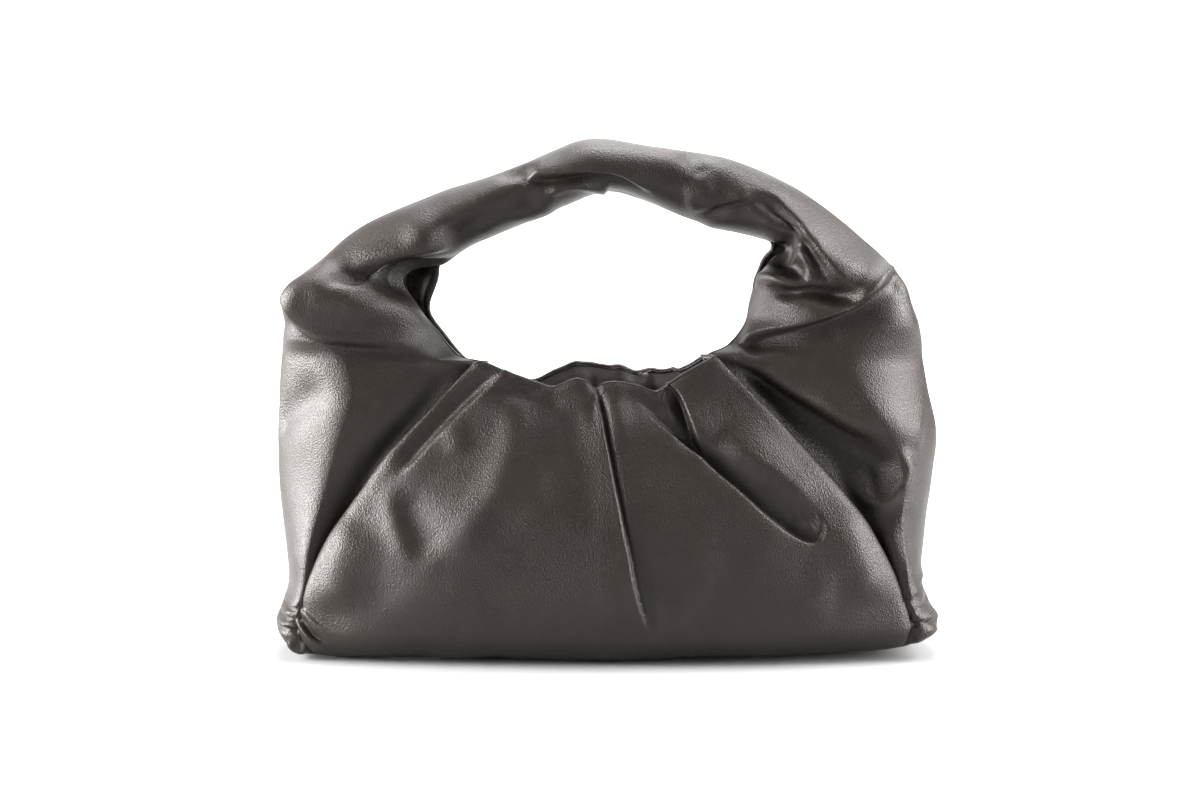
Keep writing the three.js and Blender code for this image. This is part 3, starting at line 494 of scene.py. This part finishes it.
HANDLE_SECTIONS = np.array([
    # inner x and z, outer x and z, half depth, depth of the free edges, where deepest, the back edge's offset, its
    # drop, roundness
    (-92, 190, -204.6, 200, 37, 20, 0.74, 4, 6, 0.90),
    (-107, 206, -203.2, 210, 38, 11, 0.72, 5, 5, 0.60),
    (-118, 220, -204, 222, 42, 8, 0.55, 6, 3, 0.30),
    (-127, 236, -197.5, 236, 43, 6, 0.46, 20, 0, 0.33),
    (-120, 244, -182, 249, 37, 4, 0.44, 14, 0, 0.62),
    (-104, 246, -160, 266, 32, 1.5, 0.46, 0, 0, 1.05),
    (-91, 255, -134, 280, 30, 1, 0.50, 0, 0, 1.15),
    (-80, 261, -106, 293, 29, 1, 0.50, 0, 0, 1.10),
    (-47, 274, -64, 306, 28, 1, 0.50, 0, 0, 0.85),
    (-26, 283, -34, 318, 28, 1, 0.50, 0, 0, 0.85),
    (-1, 292, -9, 326, 28, 1, 0.50, 0, 0, 0.85),
    (21, 288, 28, 322, 28, 1, 0.50, 0, 0, 0.85),
    (58, 274, 74, 314, 28, 1, 0.50, 0, 0, 0.85),
    (81, 267, 104, 303, 29, 1, 0.50, 0, 0, 1.10),
    (100, 262, 127, 290, 31, 1.5, 0.48, 0, 0, 1.35),
    (112, 257, 147, 275, 33, 4, 0.45, -9, 0, 1.50),
    (104, 251, 163, 261, 36, 6, 0.50, -6, 0, 1.45),
    (97, 244, 177, 248, 38, 8, 0.55, -2, 0, 1.10),
    (92, 235, 187.5, 235, 38, 9, 0.50, 0, 0, 0.60),
    (89, 224, 192.5, 222, 38, 9, 0.55, 2, 3, 0.60),
    (86, 210, 198, 210, 38, 11, 0.58, 3, 5, 0.75),
    (75, 197, 201, 199, 37, 20, 0.60, 4, 6, 1.05),
])


def side_sections(levels, side):
    """Rows like the handle's for one side below the mouth: the inner line is the panel's seam there."""
    table = curve_through(SIDE_LEVELS[:, 0], SIDE_LEVELS[:, 1:], levels)
    seam = panel_surface(np.full(levels.shape, float(side)), levels, FRONT_RIM)
    outer = table[:, 0:2] if side < 0 else table[:, 2:4]
    edge = np.abs(seam[:, 1])
    deepest = table[:, 5] if side < 0 else table[:, 6]
    return np.column_stack([seam[:, 0], seam[:, 2], outer, edge * table[:, 4], edge, deepest,
                            np.zeros(len(levels)), BACK_DROP * ramp(0.8, 1, levels), table[:, 7]])


def band_surface(place, turn):
    """The unfolded band: place counts sections, turn runs from -1 at the front edge over 0 at the outer line to 1 at
    the back edge. Outside its deepest line a section is a rounded box, inside an ellipse that runs in to its edge."""
    inner_x, inner_z, outer_x, outer_z, half, edge, deepest, offset, drop, roundness = np.moveaxis(
        curve_through(band_keys, band_rows, place), -1, 0)
    wrap = np.pi - np.arcsin(np.clip(edge / half, 0, 1))
    angle = turn * wrap
    cosine, sine = np.cos(angle), np.sin(angle)
    outside = deepest + (1 - deepest) * np.maximum(cosine, 0) ** roundness
    share = np.where(cosine > 0, outside, deepest * (1 - cosine / np.cos(wrap)))
    depth = np.where(cosine > 0, np.sign(sine) * np.abs(sine) ** roundness, sine)
    start_x = inner_x + offset * ramp(STAGGER_FROM, 1, turn)
    start_z = inner_z - drop * ramp(STAGGER_FROM, 1, turn)
    x, z = start_x + (outer_x - start_x) * share, start_z + (outer_z - start_z) * share
    return np.stack([x, half * depth, np.maximum(z, 0)], axis=-1)


side_levels = BOTTOM_LEVEL + (1 - BOTTOM_LEVEL) * np.linspace(0, 1, SIDE_ROWS) ** SIDE_CROWDING
band_rows = np.concatenate([side_sections(side_levels, -1), HANDLE_SECTIONS, side_sections(side_levels, 1)[::-1]])
midway = (band_rows[:, 0:2] + band_rows[:, 2:4]) / 2
strides = np.maximum(np.linalg.norm(np.diff(midway, axis=0), axis=1), LEAST_STRIDE)
band_keys = np.concatenate([[0], np.cumsum(strides)])

BAND_FRONT_FOLDS = [
    fold("left lobe", [(-188, 236), (-174, 230), (-153, 225), (-133, 222), (-121, 214), (-112, 203)],
         (4, 3), (15, 5), 2, (0.2, 0.2)),
    fold("left pocket", [(-179, 244), (-164, 244), (-148, 242), (-132, 239), (-116, 237), (-104, 237)],
         (-10, -10), (8, 11), 1.5, (0.25, 0), 2.4),
    fold("over the left pocket", [(-172, 244), (-158, 247), (-145, 248), (-130, 251), (-112, 255), (-94, 259)],
         (-4, 2.5), (7, 13), 2.5, (0.6, 0.25)),
    fold("under the left lobe", [(-203, 223), (-199, 214), (-190, 206), (-178, 200), (-160, 198), (-139, 196),
                                 (-118, 193), (-97, 190)], (-4, 4), (9, 20), 3.5, (0, 0.5)),
    fold("top of the left side", [(-116, 191), (-101, 189), (-85, 188)], (2.5, -2), (5, 4), 1.2, (0.4, 0)),
    fold("left dent", [(-208, 148), (-193, 159), (-174, 174)], (-3.5, -3.5), (9, 9), 2, (0, 0.4)),
    fold("left side ridge", [(-172, 198), (-166, 178), (-167, 165), (-171, 140), (-176, 118), (-182, 82), (-194, 51)],
         (1.5, 1.5), (12, 14), 2, (0.3, 0.1)),
    fold("left arm swelling", [(-132, 261), (-116, 266), (-98, 274)], (3, 3), (13, 14), 3, (0.5, 0.5)),
    fold("left seam hollow", [(-90, 178), (-104, 167), (-123, 147), (-151, 115), (-170, 83), (-185, 48)],
         (-4, -4), (10, 10), 2, (0.1, 0.55)),
    fold("right facet", [(68, 282), (80, 287), (93, 290), (103, 287), (111, 280), (120, 271), (126, 262), (134, 250),
                         (140, 240), (148, 234), (157, 228)], (-5, 2.5), (10, 16), 2.5, (0.35, 0.15)),
    fold("right throat upright", [(113, 272), (120, 265), (122, 256), (124, 246), (122, 238)],
         (4, 4), (3.5, 4), 1.5, (0.3, 0.15)),
    fold("right throat shelf", [(123, 236), (116, 236), (109, 238), (99, 239), (92, 236)],
         (4, 4), (4, 4), 1.5, (0.15, 0.1)),
    fold("right throat pocket", [(104, 258), (111, 249), (117, 243)], (-9, -9), (7, 7), 2, (0.2, 0), 2.5),
    fold("right leaf", [(98, 231), (112, 230), (124, 231), (138, 229), (155, 227)],
         (-7, -7), ((3.5, 6), (3.5, 5)), 2, (0.3, 0.02), 2.4),
    fold("under the right leaf", [(102, 220), (120, 222), (140, 222)], (2, 2), (7, 7), 2, (0.4, 0.4)),
    fold("right shoulder crease", [(82, 195), (90, 200), (100, 204), (112, 207), (128, 212), (143, 217), (157, 223),
                                   (166, 230), (175, 238), (182, 244)], (-4, 4), (12, 8), 1.2, (0.1, 0.05)),
    fold("right shoulder ridge", [(152, 225), (162, 232), (172, 240), (180, 247)], (2.5, 2.5), (4, 7), 1.5, (0.5, 0)),
    fold("under the right shoulder", [(120, 202), (142, 208), (160, 215), (176, 226), (188, 236)],
         (-3, -3), (15, 8), 2, (0.3, 0.1)),
    fold("right side swelling", [(120, 172), (139, 161), (164, 151), (186, 143), (202, 139)],
         (4, 4), (7, 16), 2, (0.3, 0.1)),
    fold("right side groove", [(83, 182), (102, 168), (128, 148), (150, 133), (168, 122), (178, 117)],
         (-9, -9), ((6, 12), (6, 11)), 2, (0.05, 0.05), 2.5),
    fold("over the right groove", [(76, 188), (86, 183), (106, 171), (135, 154), (154, 144), (176, 134)],
         (-4, 2.5), (6, 10), 1.2, (0.05, 0.35)),
    fold("rim of the right groove", [(178, 134), (186, 127), (188, 118), (183, 108), (171, 99), (160, 104),
                                     (149, 115)], (3.5, 3.5), (3.5, 4.5), 1.2, (0.25, 0.35)),
    fold("right seam hollow", [(79, 180), (95, 164), (120, 142), (142, 122), (151, 108), (170, 73), (186, 45)],
         (-4, -4), (8, 8), 2, (0.1, 0.5)),
    fold("right lower fold", [(173, 86), (179, 71), (185, 56)], (3, 3), (6, 6), 1.5, (0.3, 0.3)),
    fold("right lower hollow", [(187, 100), (193, 75), (195, 56)], (-2.5, -2.5), (7, 7), 1.5, (0.3, 0.3)),
    fold("crown crease", [(-54, 300), (-48, 302), (-33, 303), (-22, 304), (-11, 304), (-1, 304), (8, 302), (21, 295),
                          (30, 290)], (-5, 2.5), (7, 9), 1.5, (0.15, 0.25)),
    fold("inner lip", [(-39, 290), (-34, 294), (-25, 297), (-17, 297), (-4, 294), (2, 292)],
         (3, 3), (3, 3), 1, (0.2, 0.1)),
    fold("left arm hollow", [(-104, 259), (-98, 263), (-76, 275), (-65, 280), (-54, 285), (-39, 291)],
         (-4, -4), (6, 9), 2, (0.2, 0.2)),
    fold("left arm roll", [(-86, 263), (-76, 270), (-67, 277), (-48, 279), (-28, 285)],
         (2, 2), (5, 5), 1.5, (0.2, 0.2)),
    fold("right arm ridge", [(50, 279), (63, 283), (77, 286), (92, 289)], (-1.5, 2), (7, 9), 2, (0.4, 0.2)),
    fold("right arm swelling", [(47, 288), (53, 290), (61, 295), (70, 300)], (2.5, 2.5), (8, 8), 2, (0.2, 0.5)),
    fold("crown saddle", [(52, 315), (56, 309), (60, 301)], (-2.5, -2.5), (7, 7), 2, (0, 0.4)),
    fold("crown overlap", [(-62, 306), (-54, 305), (-48, 301)], (-3, -3), (6, 6), 1.5, (0, 0.2)),
    fold("right arm roll", [(56, 275), (71, 275), (86, 277)], (2, 2), (6, 6), 2, (0.4, 0.4)),
    fold("right throat arc", [(92, 272), (102, 274), (110, 271), (117, 264)], (2, 2), (5, 5), 2, (0.4, 0.3)),
    fold("left ear first pucker", [(-207, 36), (-201, 35), (-193, 33)], (-3, 1), (2.4, 3), 0.9, (0, 0.1)),
    fold("left ear second pucker", [(-208, 29), (-201, 28.5), (-193, 27.5)], (-3, 1), (2.4, 3), 0.9, (0, 0.1)),
    fold("left ear third pucker", [(-210, 22), (-202, 21.5), (-192, 21)], (-3.5, 1.5), (2.6, 3), 0.9, (0, 0.1)),
    fold("left ear curl", [(-200, 13), (-196.5, 7.5), (-190.5, 7), (-189, 13)],
         (2.5, 2.5), (2.2, 2.2), 0.9, (0.1, 0.1)),
    fold("right ear pinch", [(199.5, 49), (195.5, 43.5), (190, 37)], (2, -3.5), (5, 2.6), 0.9, (0, 0.2)),
    fold("right ear slit", [(211, 24.5), (202, 25), (191, 25)], (1.5, -3.5), (6, 2.6), 0.9, (0, 0.05)),
    fold("right ear facet", [(205, 38), (199, 34), (193, 33)], (-1.5, -1.5), (2.6, 2.6), 0.9, (0, 0.2)),
    fold("right ear roll", [(209, 19.5), (201, 17), (193, 15)], (2, 2), (3, 3), 1, (0.1, 0.1)),
    fold("right ear tuck", [(204, 13.5), (197, 11), (190, 10)], (1, -2.5), (3, 2.4), 0.9, (0, 0.2)),
]
BAND_BACK_FOLDS = [
    fold("left shoulder ridge", [(-190, 236), (-160, 226), (-124, 218)], (5, 5), (10, 9), 2, (0.5, 0.2)),
    fold("under the left shoulder", [(-198, 222), (-170, 206), (-128, 200)], (-6, -6), (10, 10), 2, (0, 0.3)),
    fold("left shoulder pocket", [(-150, 244), (-132, 240), (-118, 232)], (-7, -7), (8, 8), 2, (0.2, 0), 3),
    fold("left side groove", [(-92, 178), (-136, 146), (-176, 122)], (-7, -7), ((6, 9), (6, 9)), 2, (0, 0), 3),
    fold("left side swelling", [(-96, 190), (-140, 160), (-184, 138)], (3.5, 3.5), (12, 8), 2, (0.1, 0.1)),
    fold("handle crease", [(-70, 282), (-20, 300), (30, 298), (84, 282)], (-4, 3), (8, 10), 1.6, (0.2, 0.2)),
    fold("right shoulder ridge", [(108, 220), (146, 230), (184, 240)], (6, 6), (10, 9), 2, (0.2, 0)),
    fold("right facet", [(88, 290), (112, 276), (132, 252), (156, 236)], (-6, 3), (10, 12), 2, (0.1, 0.1)),
    fold("under the right shoulder", [(100, 200), (140, 206), (194, 220)], (-6, -6), (10, 10), 2, (0.2, 0)),
    fold("right side groove", [(80, 180), (128, 140), (172, 104)], (-6, -6), ((6, 9), (6, 9)), 2, (0, 0), 3),
    fold("right seam hollow", [(90, 168), (140, 120), (182, 50)], (-4, -4), (9, 9), 2, (0.1, 0.1)),
    fold("left seam hollow", [(-95, 172), (-145, 120), (-184, 50)], (-4, -4), (9, 9), 2, (0.1, 0.1)),
    fold("left ear pucker", [(-208, 28), (-192, 26)], (-2.5, -2.5), (2.6, 2.6), 1, (0, 0.2)),
    fold("right ear pucker", [(208, 26), (192, 27)], (-2.5, -2.5), (2.6, 2.6), 1, (0, 0.2)),
]
left_top, right_top = band_keys[len(side_levels)], band_keys[-len(side_levels) - 1]
steps = np.linspace(0, 1, SIDE_GRID)
steps = EVEN_SHARE * steps + CROWDED_SHARE * steps ** 2
places = np.concatenate([left_top * steps[:-1], np.linspace(left_top, right_top, HANDLE_GRID),
                         band_keys[-1] - (band_keys[-1] - right_top) * steps[-2::-1]])
turns = np.concatenate([np.linspace(-BAND_REACH, 0, ROUND_GRID[0])[:-1], np.linspace(0, BAND_REACH, ROUND_GRID[1])])
place, turn = np.meshgrid(places, turns, indexing="ij")
band = slouched(band_surface(place, turn))
relief = folded(band, 43, BAND_FRONT_FOLDS) * ramp(*SPINE, -turn)
relief += folded(band, 43, BAND_BACK_FOLDS) * ramp(*SPINE, turn)
relief = (relief + BAND_SLACK * slack(band, 51)) * (1 - ramp(*BAND_FOLDS_END, np.abs(turn)))
turned_edge = WALL + (HEM - WALL) * ramp(*TURNED_EDGE, np.abs(turn)) * ramp(*TURNED_HEIGHT, band[..., 2])
handle_band = wall_piece("handle_leather", band, outward(band), relief, turned_edge)
handle_band.data.materials.append(nappa)
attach(handle_band, "root")
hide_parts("handle_band")


# Base: a plain piece of the same leather that the bag stands on, sewn between the lower edges of the panels and
# the sides. Its two ends are drawn up a few millimetres with the corners.
BASE_GRID = (121, 33)  # points along and across
BASE_GAP = 1.2  # to the pieces around it
BASE_HALF, BASE_BOW = 166.5, 19.5  # half its length along the seams, and how much further its ends bow out
BASE_DEPTH, BASE_PINCH = 38, 8.2  # half its depth in the middle, and how much less it is at the corners
LIFTED_AT = 170  # distance of the drawn-up corners from the middle
length_way, depth_way = np.meshgrid(np.linspace(-1, 1, BASE_GRID[0]), np.linspace(-1, 1, BASE_GRID[1]), indexing="ij")
half_length = BASE_HALF + BASE_BOW * np.sqrt(np.clip(1 - depth_way ** 2, 0, 1)) - BASE_GAP
base_x = length_way * half_length
half_depth = BASE_DEPTH - BASE_PINCH * np.clip(np.abs(base_x) / BASE_HALF, 0, 1) ** 2 - BASE_GAP
corner_lift = np.where(base_x < 0, PANEL_LEVELS[0, 2], PANEL_LEVELS[0, 4])
base_z = corner_lift * np.clip(np.abs(base_x) / LIFTED_AT, 0, 1) ** EDGE_RISE
base = np.stack([base_x, depth_way * half_depth, base_z], axis=-1)
down = np.broadcast_to(np.array([0.0, 0.0, -1.0]), base.shape)
base_panel = wall_piece("base_leather", base[::-1], down, np.zeros(base_x.shape), WALL)
base_panel.data.materials.append(nappa)
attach(base_panel, "root")
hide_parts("base_panel")


# Studio: a pale paper sweep that ends just in front of the bag and curves up behind it, soft boxes at its sides, one
# above, weak ones in front, and a light on the paper behind. The room is white to the eye and gives no light of its
# own, so the bag's front stays dark. The camera looks slightly down, as in the photograph.
SWEEP_NEAR, SWEEP_TURN = -0.50, 2.2  # where the paper ends in front, and where it starts to curve up
SWEEP_RADIUS, SWEEP_TOP, SWEEP_HALF = 1.2, 6.0, 1.7
PAPER, PAPER_ROUGH = (0.33, 0.33, 0.33, 1), 0.9
bend = np.linspace(0, np.pi / 2, 24)
curve = np.stack([SWEEP_TURN + SWEEP_RADIUS * np.sin(bend), SWEEP_RADIUS * (1 - np.cos(bend))], axis=1)
profile = np.concatenate([[[SWEEP_NEAR, 0]], curve, [[SWEEP_TURN + SWEEP_RADIUS, SWEEP_TOP]]])
sides = [np.column_stack([np.full(len(profile), x), profile]) for x in (-SWEEP_HALF, SWEEP_HALF)]
row = np.arange(len(profile) - 1)
strips = np.stack([row, row + len(profile), row + len(profile) + 1, row + 1], axis=1)
paper_mesh = bpy.data.meshes.new("paper_sweep")
paper_mesh.from_pydata(np.concatenate(sides).tolist(), [], strips.tolist())
paper_mesh.polygons.foreach_set("use_smooth", np.ones(len(strips), bool))
paper = bpy.data.materials.new("matt_paper")
paper.use_nodes = True
paper_shader = paper.node_tree.nodes["Principled BSDF"]
paper_shader.inputs["Base Color"].default_value, paper_shader.inputs["Roughness"].default_value = PAPER, PAPER_ROUGH
paper_mesh.materials.append(paper)
sweep = bpy.data.objects.new("paper_sweep", paper_mesh)
bpy.context.scene.collection.objects.link(sweep)

SOFT_BOXES = {
    # name: place, size, watts, aim
    "left_back_box": ((-1.40, 0.35, 0.55), 1.2, 44, (0, 0, 0.15)),
    "left_box": ((-1.45, -0.22, 0.40), 0.9, 90, (0, 0, 0.15)),
    "left_front_box": ((-1.05, -1.05, 0.50), 0.9, 10, (0, 0, 0.12)),
    "right_rim": ((1.24, 0.33, 1.00), 0.6, 29, (0, 0, 0.15)),
    "right_box": ((1.40, -0.20, 0.38), 0.9, 47, (0, 0, 0.15)),
    "right_front_box": ((1.05, -1.05, 0.40), 0.8, 4, (0, 0, 0.15)),
    "right_high_box": ((1.00, -0.30, 1.20), 0.5, 14, (0, 0, 0.15)),
    "top_box": ((0.1, 0.45, 1.7), 1.2, 60, (0, 0, 0.2)),
    "front_box": ((0, -2.4, 1.6), 1.2, 0.8, (0, 0, 0.15)),
    "paper_light": ((0, 1.3, 2.2), 2.0, 480, (0, 3.4, 0.9)),
}
for name, (spot, size, watts, aim) in SOFT_BOXES.items():
    light = bpy.data.lights.new(name, "AREA")
    light.size, light.energy = size, watts
    lamp = bpy.data.objects.new(name, light)
    lamp.location = spot
    lamp.rotation_mode = "QUATERNION"
    lamp.rotation_quaternion = (Vector(aim) - Vector(spot)).to_track_quat("-Z", "Y")
    bpy.context.scene.collection.objects.link(lamp)
world = bpy.data.worlds.new("studio")
world.use_nodes = True
room = world.node_tree.nodes["Background"]
room.inputs["Color"].default_value, room.inputs["Strength"].default_value = (1, 1, 1, 1), 1.0
world.cycles_visibility.diffuse = world.cycles_visibility.glossy = False
bpy.context.scene.world = world
bpy.context.scene.view_settings.view_transform = "Standard"

CAMERA_AIM = Vector((-0.0044, 0, 0.160))
CAMERA_DISTANCE, CAMERA_RISE, LENS = 2.2, np.radians(5.7), 103.8
camera = bpy.data.objects.new("camera", bpy.data.cameras.new("camera"))
camera.data.lens, camera.data.sensor_width = LENS, 36
away = Vector((0, -np.cos(CAMERA_RISE), np.sin(CAMERA_RISE)))
camera.location = CAMERA_AIM + away * CAMERA_DISTANCE
camera.rotation_mode = "QUATERNION"
camera.rotation_quaternion = (-away).to_track_quat("-Z", "Y")
bpy.context.scene.collection.objects.link(camera)
bpy.context.scene.camera = camera
